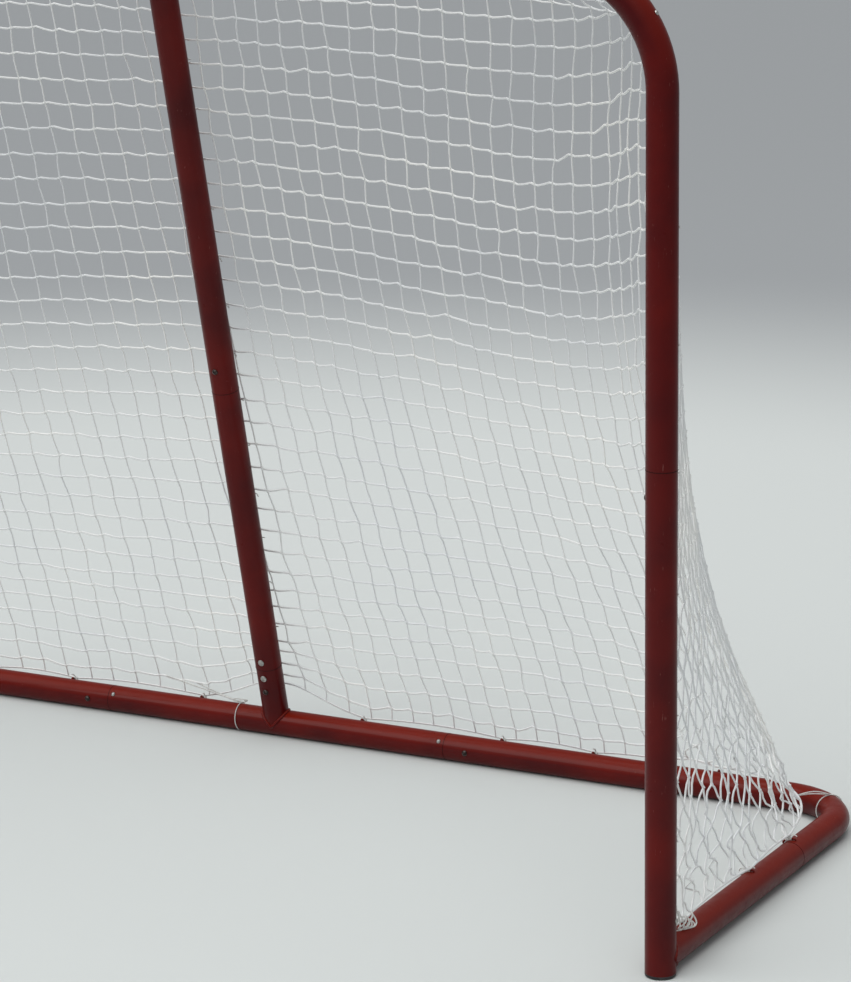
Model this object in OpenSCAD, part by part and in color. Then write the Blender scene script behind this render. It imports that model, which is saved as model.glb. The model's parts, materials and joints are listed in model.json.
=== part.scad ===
// Knock-down ice and street hockey goal: steel tube frame that plugs together,
// spring snap buttons that lock each joint, and a knotted net tied to the tubes.
// Origin: middle of the footprint on the floor. The mouth faces -Y, +Z is up.
// The modules are drawn with the posts at y = 0, and placed() moves them to that origin.

/* [Frame] */
// Outside width over the two posts
goal_w = 1828.8; // [1500:0.1:2000]
// Outside height from the floor to the top of the crossbar
goal_h = 1223.5; // [1050:0.1:1300]
// From the plane of the posts back to the axis of the rear rail
base_depth = 643; // [580:1:800]
// Outside diameter of every frame tube
tube_d = 38.1; // [32:0.1:42]
// Wall thickness of the tubes
wall_t = 1.5; // [1.2:0.1:2]
// Centreline radius of the bends between the posts and the crossbar
top_bend_r = 147.5; // [120:0.5:170]
// Centreline radius of the rear floor corners
rear_bend_r = 97; // [85:1:125]

/* [Joints] */
// Height of the seam between the upper and the lower post
post_seam_z = 620.5; // [500:0.5:700]
// Distance of the crossbar and rear rail seams from the middle
bar_seam_x = 279; // [220:1:320]
// Distance of the side tube seam behind the posts
side_seam_y = 409; // [350:1:425]
// Length of the reduced end that plugs into the next tube
plug_len = 62; // [55:1:80]
// Distance of a snap button from its seam
button_offset = 35; // [30:1:40]
// Diameter of a snap button
button_d = 8; // [6:0.1:9]
// How far a snap button stands out of the tube
button_proud = 3; // [2:0.1:4]
// How far a snap button can be pushed in
button_travel = 4.6; // [4:0.1:5]

/* [Centre support] */
// Lean of the support leg towards the mouth, in degrees from vertical
leg_lean = 13.43; // [11:0.01:17]
// Centreline radius of the bend between the leg and the top arm
leg_bend_r = 110; // [90:1:125]
// Distance along the leg from the rear rail axis to the foot seam
foot_seam = 94; // [80:1:110]
// Distance along the leg from the rear rail axis to the middle seam
leg_seam = 531; // [450:1:650]
// Distance of the arm seam behind the crossbar axis
arm_seam = 92; // [85:1:120]
// Distance of each foot bolt from the foot seam
foot_bolt_step = 13; // [11:0.5:14]

/* [Feet and studs] */
// Thickness of the plastic cap under each post
cap_t = 4; // [3:0.1:6]
// Diameter of the small steel studs that the net cord hooks on
stud_d = 6; // [5:0.1:8]

/* [Net] */
// Thickness of a net strand
strand_t = 3; // [2:0.1:4]
// Width of a net strand
strand_w = 4; // [3:0.1:5]
// Clear space between the net and the cord that ties it
net_gap = 0.3; // [0.2:0.1:2]
// Net openings from the post to the rear corner
side_cols = 4; // [3:1:5]
// Net openings from the rear corner to the centre support
back_cols = 5; // [4:1:6]
// Net openings from the bottom edge up to the top bend
wall_rows = 9; // [7:1:10]
// Net openings from the top bend forward to the crossbar
roof_rows = 3; // [2:1:4]
// Diameter of the cord that ties the net to the tubes
tie_d = 3; // [2:0.1:4]

/* [Hidden] */
$fn = 64;
cut = 1;                              // how far a cutter runs past a face
red = "firebrick";
steel = "silver";

tube_r = tube_d / 2;
bore_r = tube_r - wall_t;
plug_r = bore_r - 0.15;               // the plug end slides in with this much room
plug_bore_r = plug_r - wall_t;
plug_root = 14;                       // length of the plug end fixed inside its own tube
root_grip = 0.4;                      // how far the fixed length bites into the tube
stub_step = 0.3;                      // a welded stub is this much smaller in radius than the tubes
button_r = button_d / 2;
hole_r = button_r + 0.05;             // running fit of a button in its holes

post_x = goal_w / 2 - tube_r;         // post axis
bar_z = goal_h - tube_r;              // crossbar axis
rail_z = tube_r;                      // rear rail axis, lying on the floor
side_rise = cap_t + 0.4;              // the side tube clears the cut end of the post
side_z = tube_r + side_rise;          // side tube axis where it meets the post
base_tilt = atan(side_rise / base_depth); // the side tubes drop towards the rear rail

// Centre support: the leg line leaves the rail axis, the arm line leaves the crossbar axis
corner_y = base_depth - tan(leg_lean) * (bar_z - rail_z);
bend_turn = 90 - leg_lean;
bend_tangent = leg_bend_r * tan(bend_turn / 2);
leg_len = round(100 * ((bar_z - rail_z) / cos(leg_lean) - bend_tangent)) / 100;
arm_end = corner_y - bend_tangent;

// Net: a wall that follows flat curves at each height, and a roof over the support arm
tie_r = tube_r + tie_d / 2 + 0.4;     // a ring of tie cord round a tube
tie_clear = tie_r + tie_d / 2 + net_gap; // from a tube axis to the edge of the net beside it
wall_clear = tie_clear + strand_t / 2; // from the support's axis to the net behind it
net_bottom_z = side_z + tie_clear;
roof_side = 1 - tie_clear / (post_x - top_bend_r) * (base_depth / (base_depth + post_x)) * 1.25;
side_share = base_depth / (base_depth + post_x);
square_low = 6.3;                     // extra squareness of the net's plan at the floor
square_fade = 205;                    // height over which that squareness fades
square_top = 1.6;                     // squareness of the plan near the top
roof_lift = 0.5;                      // the roof meets the crossbar this far above its axis
panel_inset = 0.0004;                 // gap between neighbouring net panels, as a share
wall_top_gap = 0.0022;                // gap between the wall's top row and the roof, as a share

// ---------------------------------------------------------------- tube helpers

module pipe(from, to, r = tube_r, bore = bore_r) {
    difference() {
        translate([0, 0, from]) cylinder(r = r, h = to - from);
        translate([0, 0, from - cut]) cylinder(r = bore, h = to - from + 2 * cut);
    }
}

// Quarter or part bend in the XZ plane, from the point [r, 0, 0], turning towards +Z and -X
module bend(centre_r, turn, r) {
    rotate([90, 0, 0]) rotate_extrude(angle = turn) translate([centre_r, 0]) circle(r = r);
}

// Reduced end of a tube. It stands along +Z from the seam at z = 0.
module plug_end(len = plug_len) {
    difference() {
        union() {
            translate([0, 0, -plug_root]) cylinder(r = bore_r + root_grip, h = plug_root - 1);
            translate([0, 0, -plug_root]) cylinder(r = plug_r, h = plug_root + len);
        }
        translate([0, 0, -plug_root - cut]) cylinder(r = plug_bore_r, h = plug_root + len + 2 * cut);
    }
}

// Button hole, along +X from the axis of a tube that runs along Z
module button_hole(z) {
    translate([0, 0, z]) rotate([0, 90, 0]) cylinder(r = hole_r, h = tube_r + cut);
}

// Snap button and its leaf spring lie in the XZ plane of a tube that runs along Z,
// with the button facing +X at z = 0 and the spring's bend towards -Z.
flange_r = button_r + 1.5;
flange_top = 14.7;
flange_t = 1.3;
dome_r = button_r;
module snap_button() {
    color(steel) rotate([0, 90, 0]) {
        translate([0, 0, flange_top - flange_t]) cylinder(r = flange_r, h = flange_t);
        translate([0, 0, flange_top - flange_t / 2])
            cylinder(r = button_r, h = tube_r + button_proud - dome_r / 2 - flange_top + flange_t / 2);
        translate([0, 0, tube_r + button_proud - dome_r / 2]) scale(1) intersection() {
            translate([0, 0, -dome_r * 0.75]) sphere(r = dome_r * 1.25);
            cylinder(r = button_r, h = dome_r);
        }
    }
}

// Outline of a strip of thickness t that follows the points of a path
function turn_left(v) = [-v[1], v[0]];
function strip(path, t) =
    let (last = len(path) - 1,
         side = [for (i = [0:last])
             let (before = unit(path[max(i, 1)] - path[max(i, 1) - 1]),
                  after = unit(path[min(i, last - 1) + 1] - path[min(i, last - 1)]),
                  middle = unit(turn_left(before + after)))
             middle * t / 2 / (middle * turn_left(after))])
    concat([for (i = [0:last]) path[i] + side[i]], [for (i = [last:-1:0]) path[i] - side[i]]);

leaf_t = 0.8;
leaf_w = 7;
leaf_len = 30;
leaf_heel = 1.8;                      // half width of the spring's folded end
leaf_foot = 14.2;                     // how far the resting leaf lies below the tube axis
module leaf_spring() {
    head = flange_top - flange_t - 0.1 - leaf_t / 2;
    color(steel) rotate([90, 0, 0]) translate([0, 0, -leaf_w / 2]) linear_extrude(leaf_w)
        polygon(strip([
            [head, button_r], [head, -button_r - 1], [leaf_heel, -leaf_len + leaf_heel],
            [0, -leaf_len], [-leaf_heel, -leaf_len + leaf_heel],
            [-leaf_foot, -button_r], [-leaf_foot, button_r / 2]], leaf_t));
}

// ---------------------------------------------------------------- places of the joints

// Each place puts the tube axis on +Z from the seam into the socket, and the button on +X.
module at_post_joint() {
    translate([post_x, 0, post_seam_z]) rotate([0, 180, 0]) children();
}
module in_base_plane() {
    translate([0, base_depth, rail_z]) rotate([-base_tilt, 0, 0]) children();
}
module at_side_joint() {
    in_base_plane() translate([post_x, side_seam_y - base_depth, 0])
        rotate([-90, 0, 0]) rotate([0, 0, 180]) children();
}
module at_rail_joint() {
    translate([bar_seam_x, base_depth, rail_z]) rotate([0, 90, 0]) rotate([0, 0, -90]) children();
}
module at_crossbar_joint() {
    translate([bar_seam_x, 0, bar_z]) rotate([0, 90, 0]) children();
}
// The leg's own frame: origin on the rail axis, +Z up the leg, the front side on +X
module on_leg(s = 0) {
    translate([0, base_depth, rail_z]) rotate([leg_lean, 0, 0]) translate([0, 0, s])
        rotate([0, 0, -90]) children();
}
module at_leg_joint() { on_leg(leg_seam) children(); }
module at_foot_joint() { on_leg(foot_seam) mirror([0, 0, 1]) children(); }
module at_arm_joint() {
    translate([0, arm_seam, bar_z]) rotate([-90, 0, 0]) rotate([0, 0, 90]) children();
}
module mirrored(side) { if (side > 0) children(); else mirror([1, 0, 0]) children(); }

// ---------------------------------------------------------------- frame

module crossbar_centre() {
    color(red) {
        difference() {
            union() {
                translate([-bar_seam_x, 0, bar_z]) rotate([0, 90, 0]) cylinder(r = tube_r, h = 2 * bar_seam_x);
                translate([0, 0, bar_z]) rotate([-90, 0, 0]) cylinder(r = tube_r - stub_step, h = arm_seam);
            }
            translate([-bar_seam_x - cut, 0, bar_z]) rotate([0, 90, 0])
                cylinder(r = bore_r, h = 2 * bar_seam_x + 2 * cut);
            translate([0, tube_r, bar_z]) rotate([-90, 0, 0]) cylinder(r = bore_r, h = arm_seam);
        }
        for (side = [-1, 1]) mirrored(side) at_crossbar_joint() drilled_plug();
        at_arm_joint() drilled_plug();
    }
}
module drilled_plug(len = plug_len, at = button_offset) {
    difference() { plug_end(len); button_hole(at); }
}

module upper_post() {
    color(red) {
        difference() {
            upper_post_solid(tube_r, 0);
            upper_post_solid(bore_r, cut);
            at_crossbar_joint() button_hole(button_offset);
        }
        at_post_joint() drilled_plug();
    }
}
module upper_post_solid(r, over) {
    bend_z = bar_z - top_bend_r;
    bend_x = post_x - top_bend_r;
    translate([post_x, 0, post_seam_z - over]) cylinder(r = r, h = bend_z - post_seam_z + over);
    translate([bend_x, 0, bend_z]) bend(top_bend_r, 90, r);
    translate([bar_seam_x - over, 0, bar_z]) rotate([0, 90, 0])
        cylinder(r = r, h = bend_x - bar_seam_x + over);
}
module upper_post_right() upper_post();
module upper_post_left() mirror([1, 0, 0]) upper_post();

module lower_post() {
    color(red) difference() {
        translate([post_x, 0, cap_t]) cylinder(r = tube_r, h = post_seam_z - cap_t);
        translate([post_x, 0, cap_t - cut]) cylinder(r = bore_r, h = post_seam_z - cap_t + 2 * cut);
        at_post_joint() button_hole(button_offset);
    }
}
module lower_post_right() lower_post();
module lower_post_left() mirror([1, 0, 0]) lower_post();

// The side tube's front end is cut to the round of the post, with room for the weld
cope_gap = 0.3;
module side_tube() {
    color(red) {
        difference() {
            side_rod(tube_r, 0);
            translate([post_x, 0, -tube_r]) cylinder(r = tube_r + cope_gap, h = 4 * tube_r);
            side_rod(bore_r, cut);
        }
        at_side_joint() drilled_plug();
    }
}
module side_rod(r, over) {
    in_base_plane() translate([post_x, -base_depth - over, 0]) rotate([-90, 0, 0])
        cylinder(r = r, h = side_seam_y + 2 * over);
}
module side_tube_right() side_tube();
module side_tube_left() mirror([1, 0, 0]) side_tube();

module rear_corner() {
    color(red) difference() {
        rear_corner_solid(tube_r, 0);
        rear_corner_solid(bore_r, cut);
        at_side_joint() button_hole(button_offset);
        at_rail_joint() button_hole(button_offset);
    }
}
module rear_corner_solid(r, over) {
    straight_y = base_depth - side_seam_y - rear_bend_r;
    in_base_plane() {
        translate([post_x, -rear_bend_r - straight_y - over, 0]) rotate([-90, 0, 0])
            cylinder(r = r, h = straight_y + over);
        translate([post_x - rear_bend_r, -rear_bend_r, 0]) rotate_extrude(angle = 90)
            translate([rear_bend_r, 0]) circle(r = r);
        translate([bar_seam_x - over, 0, 0]) rotate([0, 90, 0])
            cylinder(r = r, h = post_x - rear_bend_r - bar_seam_x + over);
    }
}
module rear_corner_right() rear_corner();
module rear_corner_left() mirror([1, 0, 0]) rear_corner();

module rear_rail_centre() {
    color(red) {
        difference() {
            union() {
                translate([-bar_seam_x, base_depth, rail_z]) rotate([0, 90, 0])
                    cylinder(r = tube_r, h = 2 * bar_seam_x);
                on_leg() cylinder(r = tube_r - stub_step, h = foot_seam);
            }
            translate([-bar_seam_x - cut, base_depth, rail_z]) rotate([0, 90, 0])
                cylinder(r = bore_r, h = 2 * bar_seam_x + 2 * cut);
            on_leg(tube_r) cylinder(r = bore_r, h = foot_seam);
            at_foot_joint() button_hole(button_offset);
            on_leg(foot_seam - foot_bolt_step) foot_bolt_hole();
        }
        for (side = [-1, 1]) mirrored(side) at_rail_joint() drilled_plug();
    }
}

module support_lower() {
    color(red) {
        difference() {
            on_leg(foot_seam) cylinder(r = tube_r, h = leg_seam - foot_seam);
            on_leg(foot_seam - cut) cylinder(r = bore_r, h = leg_seam - foot_seam + 2 * cut);
            on_leg(foot_seam + foot_bolt_step) foot_bolt_hole();
        }
        at_leg_joint() drilled_plug();
        difference() {
            at_foot_joint() plug_end(plug_len - 4);
            at_foot_joint() button_hole(button_offset);
            for (step = [-1, 1]) on_leg(foot_seam + step * foot_bolt_step) foot_bolt_hole();
        }
    }
}

module support_upper() {
    color(red) difference() {
        support_upper_solid(tube_r, 0);
        support_upper_solid(bore_r, cut);
        at_leg_joint() button_hole(button_offset);
        at_arm_joint() button_hole(button_offset);
    }
}
module support_upper_solid(r, over) {
    on_leg(leg_seam - over) cylinder(r = r, h = leg_len - leg_seam + over);
    // the bend turns from the leg towards the crossbar, and the arm runs on from its end
    on_leg(leg_len) translate([leg_bend_r, 0, 0]) rotate([0, 0, 180]) {
        bend(leg_bend_r, bend_turn, r);
        rotate([0, -bend_turn, 0]) translate([leg_bend_r, 0, 0])
            cylinder(r = r, h = arm_end - arm_seam + over);
    }
}

// ---------------------------------------------------------------- feet and fasteners

module foot_cap() {
    edge = cap_t / 2;
    color("black") translate([post_x, 0, 0]) {
        rotate_extrude() {
            square([tube_r - edge, cap_t]);
            translate([0, edge]) square([tube_r, cap_t - edge]);
            translate([tube_r - edge, edge]) circle(r = edge);
        }
        difference() {
            cylinder(r = bore_r - 0.2, h = cap_t + 18);
            translate([0, 0, cap_t]) cylinder(r = bore_r - 2, h = 18 + cut);
        }
    }
}
module foot_cap_right() foot_cap();
module foot_cap_left() mirror([1, 0, 0]) foot_cap();

foot_bolt_r = 2.5;
foot_bolt_head_r = 4.6;
foot_bolt_head_t = 2.4;
module foot_bolt_hole() {
    translate([-tube_r - cut, 0, 0]) rotate([0, 90, 0])
        cylinder(r = foot_bolt_r + 0.1, h = 2 * tube_r + 2 * cut);
}
// Saddle heads: the shank passes through the tube, the domed head sits on its front
module foot_bolts() {
    color(steel) for (step = [-1, 1]) on_leg(foot_seam + step * foot_bolt_step) rotate([0, 90, 0]) {
        translate([0, 0, -tube_r - 3.3]) cylinder(r = foot_bolt_r, h = 2 * tube_r + 4);
        translate([0, 0, tube_r + 0.05]) difference() {
            intersection() {
                cylinder(r = foot_bolt_head_r, h = foot_bolt_head_t);
                translate([0, 0, foot_bolt_head_t - 7]) sphere(r = 7);
            }
            translate([0, 0, foot_bolt_head_t - 1.2]) cylinder(r = 1.8, h = 2);
        }
    }
}
module foot_bolt_nuts() {
    color(steel) for (step = [-1, 1]) on_leg(foot_seam + step * foot_bolt_step) rotate([0, -90, 0])
        translate([0, 0, tube_r + 0.1]) difference() {
            cylinder(r = 4.6, h = 3, $fn = 6);
            translate([0, 0, -cut]) cylinder(r = foot_bolt_r + 0.05, h = 3 + 2 * cut);
        }
}

// Small domed steel studs riveted to the tubes, which stop the net cord from sliding
post_stud_z = 70;
rail_stud_x = 271;
bend_stud_at = 33;                    // degrees up the top bend from the post
module stud() {
    translate([0, 0, tube_r + 0.05]) intersection() {
        cylinder(d = stud_d, h = stud_d);
        translate([0, 0, -stud_d * 0.15]) sphere(d = stud_d * 1.1);
    }
}
module net_studs() {
    color(steel) for (side = [-1, 1]) mirrored(side) {
        translate([post_x, 0, post_stud_z]) rotate([0, 0, 10]) rotate([0, 90, 0]) stud();
        translate([rail_stud_x, base_depth, rail_z]) rotate([55, 0, 0]) stud();
        translate([post_x - top_bend_r, 0, bar_z - top_bend_r]) rotate([0, 90 - bend_stud_at, 0])
            translate([0, 0, top_bend_r]) stud();
    }
}

// ---------------------------------------------------------------- net ties

// A tie hugs the hidden side of its tube, so that nothing shows at the goal's front.
// It is a round arc about +Z, with its middle on +Y.
tie_span = 130;
module tie(span = tie_span) {
    rotate([0, 0, 90 - span / 2]) rotate_extrude(angle = span)
        translate([tie_r, 0]) circle(d = tie_d, $fn = 24);
}
post_tie_step = 148;
module post_ties() {
    color("white") for (i = [1:6]) translate([post_x, 0, post_tie_step * i + 20]) tie();
}
module post_ties_right() post_ties();
module post_ties_left() mirror([1, 0, 0]) post_ties();
module side_ties() {
    color("white") for (y = [73, 281, 419]) in_base_plane()
        translate([post_x, y - base_depth, 0]) rotate([90, 0, 0]) tie();
}
module side_ties_right() side_ties();
module side_ties_left() mirror([1, 0, 0]) side_ties();
rail_tie_turn = 45;                   // from behind the rail towards its top
full_tie_x = -62;                     // this tie also shows in front, down to the floor
module rail_ties() {
    color("white") {
        for (x = [-690, -500, -358, -134, 134, 358, 500, 690])
            translate([x, base_depth, rail_z]) rotate([rail_tie_turn, 0, 0]) rotate([0, 90, 0]) tie();
        translate([full_tie_x, base_depth, rail_z]) rotate([90, 0, 0]) rotate([0, 90, 0]) tie(290);
    }
}
leg_tie_step = 72;
module support_ties() {
    color("white") {
        for (i = [2:14]) on_leg(leg_tie_step * i) rotate([0, 0, 90]) tie();
        translate([0, (arm_end + arm_seam) / 2, bar_z]) rotate([90, 0, 0]) tie(360);
    }
}
crossbar_tie_step = 120;
module crossbar_ties() {
    color("white") for (side = [-1, 1], i = [1:5])
        translate([side * crossbar_tie_step * i, 0, bar_z]) rotate([0, 90, 0]) tie();
}

// ---------------------------------------------------------------- net

// Half width of the net at height z: the post, then the inside of the top bend
function half_w(z) = let (bend_z = bar_z - top_bend_r)
    z <= bend_z ? post_x
    : post_x - top_bend_r + sqrt(max(0, pow(top_bend_r, 2) - pow(min(z, bar_z) - bend_z, 2)));
// How far behind the posts the net lies at the centre support
function wall_y(z) = base_depth - tan(leg_lean) * (z - rail_z) + wall_clear / cos(leg_lean);
function squareness(z) = square_top + square_low * exp(-z / square_fade);
// A point of the plan curve at share t of the way from the post to the support
function plan(t, w, depth, n) =
    let (a = t < side_share ? 1 : (1 - t) / (1 - side_share),
         b = t < side_share ? t / side_share : 1,
         k = pow(pow(a, n) + pow(b, n), -1 / n))
    [w * a * k, tie_clear + (depth - tie_clear) * b * k];
// Row v from 0 at the bottom edge to 1 at the top of the wall
wall_top_z = rail_z + leg_len * cos(leg_lean) + wall_clear * sin(leg_lean);
function wall_point(t, v) =
    let (z = net_bottom_z + (wall_top_z - net_bottom_z) * v,
         p = plan(t, half_w(z), wall_y(z), squareness(z)))
    [p[0], p[1], z];
// Row v from 0 at the top of the wall to 1 at the crossbar
function roof_point(t, v) =
    let (low = wall_point(t, 1), narrow = half_w(bar_z) / half_w(wall_top_z))
    [low[0] * (1 - (1 - narrow) * v),
     low[1] + (tie_clear - 0.2 - low[1]) * v,
     low[2] + (bar_z + roof_lift - low[2]) * (1 - pow(1 - v, 2))];

function unit(v) = v / norm(v);
function grid_normal(g, i, j, ni, nj) =
    unit(cross(g[min(i + 1, ni)][j] - g[max(i - 1, 0)][j], g[i][min(j + 1, nj)] - g[i][max(j - 1, 0)]));

// A net panel: the grid's cells are open, with strands between them.
// g holds (ni + 1) x (nj + 1) points. Each face of the panel has the grid's corners,
// then the four corners of each opening.
module net_panel(g) {
    ni = len(g) - 1;
    nj = len(g[0]) - 1;
    n_corner = (ni + 1) * (nj + 1);
    half = strand_t / 2;
    normals = [for (i = [0:ni]) [for (j = [0:nj]) grid_normal(g, i, j, ni, nj)]];
    cell_corners = function (i, j) [[i, j], [i + 1, j], [i + 1, j + 1], [i, j + 1]];
    // an opening's corner lies one strand width inside the cell's corner
    inner = function (i, j, c)
        let (q = cell_corners(i, j), p = g[q[c][0]][q[c][1]],
             a = g[q[(c + 1) % 4][0]][q[(c + 1) % 4][1]] - p,
             b = g[q[(c + 3) % 4][0]][q[(c + 3) % 4][1]] - p,
             s = norm(cross(unit(a), unit(b))))
        p + (unit(a) + unit(b)) * (strand_w / 2) / max(s, 0.35);
    side_points = function (sgn) concat(
        [for (i = [0:ni]) for (j = [0:nj]) g[i][j] + sgn * half * normals[i][j]],
        [for (i = [0:ni - 1]) for (j = [0:nj - 1]) for (c = [0:3])
            inner(i, j, c) + sgn * half * normals[cell_corners(i, j)[c][0]][cell_corners(i, j)[c][1]]]);
    points = concat(side_points(1), side_points(-1));
    other = len(points) / 2;
    corner = function (i, j) i * (nj + 1) + j;
    open = function (i, j, c) n_corner + (i * nj + j) * 4 + c;
    face_pair = function (a, b, c) [[a, b, c], [c + other, b + other, a + other]];
    cells = [for (i = [0:ni - 1]) for (j = [0:nj - 1]) for (c = [0:3])
        let (q = cell_corners(i, j), c2 = (c + 1) % 4,
             p = corner(q[c][0], q[c][1]), p2 = corner(q[c2][0], q[c2][1]),
             o = open(i, j, c), o2 = open(i, j, c2))
        each concat(face_pair(p, o2, p2), face_pair(p, o, o2),
                    [[o, o + other, o2 + other], [o, o2 + other, o2]])];
    rim = concat(
        [for (i = [0:ni]) [i, 0]], [for (j = [1:nj]) [ni, j]],
        [for (i = [ni - 1:-1:0]) [i, nj]], [for (j = [nj - 1:-1:1]) [0, j]]);
    edge = [for (k = [0:len(rim) - 1])
        let (a = corner(rim[k][0], rim[k][1]),
             r2 = rim[(k + 1) % len(rim)], b = corner(r2[0], r2[1]))
        each [[a, b, b + other], [a, b + other, a + other]]];
    color("white") polyhedron(points, concat(cells, edge));
}

function shares(from, to, n) =
    [for (i = [0:n]) from + panel_inset + (to - from - 2 * panel_inset) * i / n];
module net_side() {
    net_panel([for (t = shares(0, side_share, side_cols))
        [for (v = shares(0, 1 - wall_top_gap, wall_rows)) wall_point(t, v)]]);
}
module net_back() {
    net_panel([for (t = shares(side_share, 1, back_cols))
        [for (v = shares(0, 1 - wall_top_gap, wall_rows)) wall_point(t, v)]]);
}
module net_roof() {
    net_panel([for (t = shares(0.06, roof_side, side_cols + back_cols))
        [for (row = [0:roof_rows]) roof_point(t, row / roof_rows)]]);
}
module net_side_right() net_side();
module net_side_left() mirror([1, 0, 0]) net_side();
module net_back_right() net_back();
module net_back_left() mirror([1, 0, 0]) net_back();
module net_roof_right() net_roof();
module net_roof_left() mirror([1, 0, 0]) net_roof();

// ---------------------------------------------------------------- snap buttons

module button_at() { translate([0, 0, button_offset]) snap_button(); }
module spring_at() { translate([0, 0, button_offset]) leaf_spring(); }
module post_button_right() at_post_joint() button_at();
module post_spring_right() at_post_joint() spring_at();
module post_button_left() mirror([1, 0, 0]) at_post_joint() button_at();
module post_spring_left() mirror([1, 0, 0]) at_post_joint() spring_at();
module side_button_right() at_side_joint() button_at();
module side_spring_right() at_side_joint() spring_at();
module side_button_left() mirror([1, 0, 0]) at_side_joint() button_at();
module side_spring_left() mirror([1, 0, 0]) at_side_joint() spring_at();
module rail_button_right() at_rail_joint() button_at();
module rail_spring_right() at_rail_joint() spring_at();
module rail_button_left() mirror([1, 0, 0]) at_rail_joint() button_at();
module rail_spring_left() mirror([1, 0, 0]) at_rail_joint() spring_at();
module crossbar_button_right() at_crossbar_joint() button_at();
module crossbar_spring_right() at_crossbar_joint() spring_at();
module crossbar_button_left() mirror([1, 0, 0]) at_crossbar_joint() button_at();
module crossbar_spring_left() mirror([1, 0, 0]) at_crossbar_joint() spring_at();
module arm_button() at_arm_joint() button_at();
module arm_spring() at_arm_joint() spring_at();
module leg_button() at_leg_joint() button_at();
module leg_spring() at_leg_joint() spring_at();
module foot_button() at_foot_joint() button_at();
// The foot spring folds away from the bolts
module foot_spring() at_foot_joint() translate([0, 0, button_offset]) mirror([0, 0, 1]) leaf_spring();

// ---------------------------------------------------------------- node choice

module placed() { translate([0, -base_depth / 2, 0]) children(); }

placed() crossbar_centre();
placed() upper_post_right();
placed() upper_post_left();
placed() lower_post_right();
placed() lower_post_left();
placed() side_tube_right();
placed() side_tube_left();
placed() rear_corner_right();
placed() rear_corner_left();
placed() rear_rail_centre();
placed() support_upper();
placed() support_lower();
placed() foot_cap_right();
placed() foot_cap_left();
placed() foot_bolts();
placed() foot_bolt_nuts();
placed() net_studs();
placed() post_ties_right();
placed() post_ties_left();
placed() side_ties_right();
placed() side_ties_left();
placed() rail_ties();
placed() support_ties();
placed() crossbar_ties();
placed() net_side_right();
placed() net_side_left();
placed() net_back_right();
placed() net_back_left();
placed() net_roof_right();
placed() net_roof_left();
placed() post_button_right();
placed() post_spring_right();
placed() post_button_left();
placed() post_spring_left();
placed() side_button_right();
placed() side_spring_right();
placed() side_button_left();
placed() side_spring_left();
placed() rail_button_right();
placed() rail_spring_right();
placed() rail_button_left();
placed() rail_spring_left();
placed() crossbar_button_right();
placed() crossbar_spring_right();
placed() crossbar_button_left();
placed() crossbar_spring_left();
placed() arm_button();
placed() arm_spring();
placed() leg_button();
placed() leg_spring();
placed() foot_button();
placed() foot_spring();
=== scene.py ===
import json
import math

import bpy
import numpy as np
from mathutils import Matrix, Vector


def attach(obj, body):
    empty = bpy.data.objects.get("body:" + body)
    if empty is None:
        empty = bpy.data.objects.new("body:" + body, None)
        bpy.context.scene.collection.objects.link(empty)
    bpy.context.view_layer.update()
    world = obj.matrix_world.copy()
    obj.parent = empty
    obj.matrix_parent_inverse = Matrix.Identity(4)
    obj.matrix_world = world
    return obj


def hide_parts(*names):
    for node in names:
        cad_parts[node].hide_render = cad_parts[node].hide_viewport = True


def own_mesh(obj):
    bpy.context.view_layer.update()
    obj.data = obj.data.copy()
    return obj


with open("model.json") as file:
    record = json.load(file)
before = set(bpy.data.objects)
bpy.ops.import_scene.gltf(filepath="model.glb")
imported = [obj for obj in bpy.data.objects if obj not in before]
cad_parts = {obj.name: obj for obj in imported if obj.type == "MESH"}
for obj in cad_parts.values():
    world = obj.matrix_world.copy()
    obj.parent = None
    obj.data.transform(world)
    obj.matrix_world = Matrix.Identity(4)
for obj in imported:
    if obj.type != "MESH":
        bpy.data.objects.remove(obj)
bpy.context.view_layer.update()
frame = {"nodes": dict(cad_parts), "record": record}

parts = frame["nodes"]


# ---- Camera
# A long lens stands in front and to the right of the goal, 0.4 m above the crossbar,
# and looks down at the right post, the centre support and the net between them.

eye = Vector((2.6200, -4.1785, 1.6181))
yaw, pitch, roll = (math.radians(angle) for angle in (27.802, 13.592, -0.732))
look = Vector((-math.sin(yaw) * math.cos(pitch), math.cos(yaw) * math.cos(pitch), -math.sin(pitch)))
level = look.cross(Vector((0, 0, 1))).normalized()
upright = level.cross(look)
across = math.cos(roll) * level + math.sin(roll) * upright
upward = -math.sin(roll) * level + math.cos(roll) * upright
camera_data = bpy.data.cameras.new("camera")
camera_data.lens = 137.34
camera_data.sensor_width = 36
camera_data.clip_end = 200
camera = bpy.data.objects.new("camera", camera_data)
camera.matrix_world = Matrix.Translation(eye) @ Matrix((across, upward, -look)).transposed().to_4x4()
bpy.context.scene.collection.objects.link(camera)
bpy.context.scene.camera = camera
bpy.context.scene.view_settings.view_transform = "Standard"


# ---- Studio floor and light
# A wide pale floor, palest round the goal and greyer from 2 to 4 m away, so that white cord
# shows against it. Two large soft lamps, a broad even one and a pale sky light it from above.


def linear(hex_colour):
    """An sRGB hex colour as the linear RGBA that shaders take."""
    channels = [int(hex_colour[i:i + 2], 16) / 255 for i in (1, 3, 5)]
    return tuple(c / 12.92 if c <= 0.04045 else ((c + 0.055) / 1.055) ** 2.4 for c in channels) + (1,)


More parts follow.
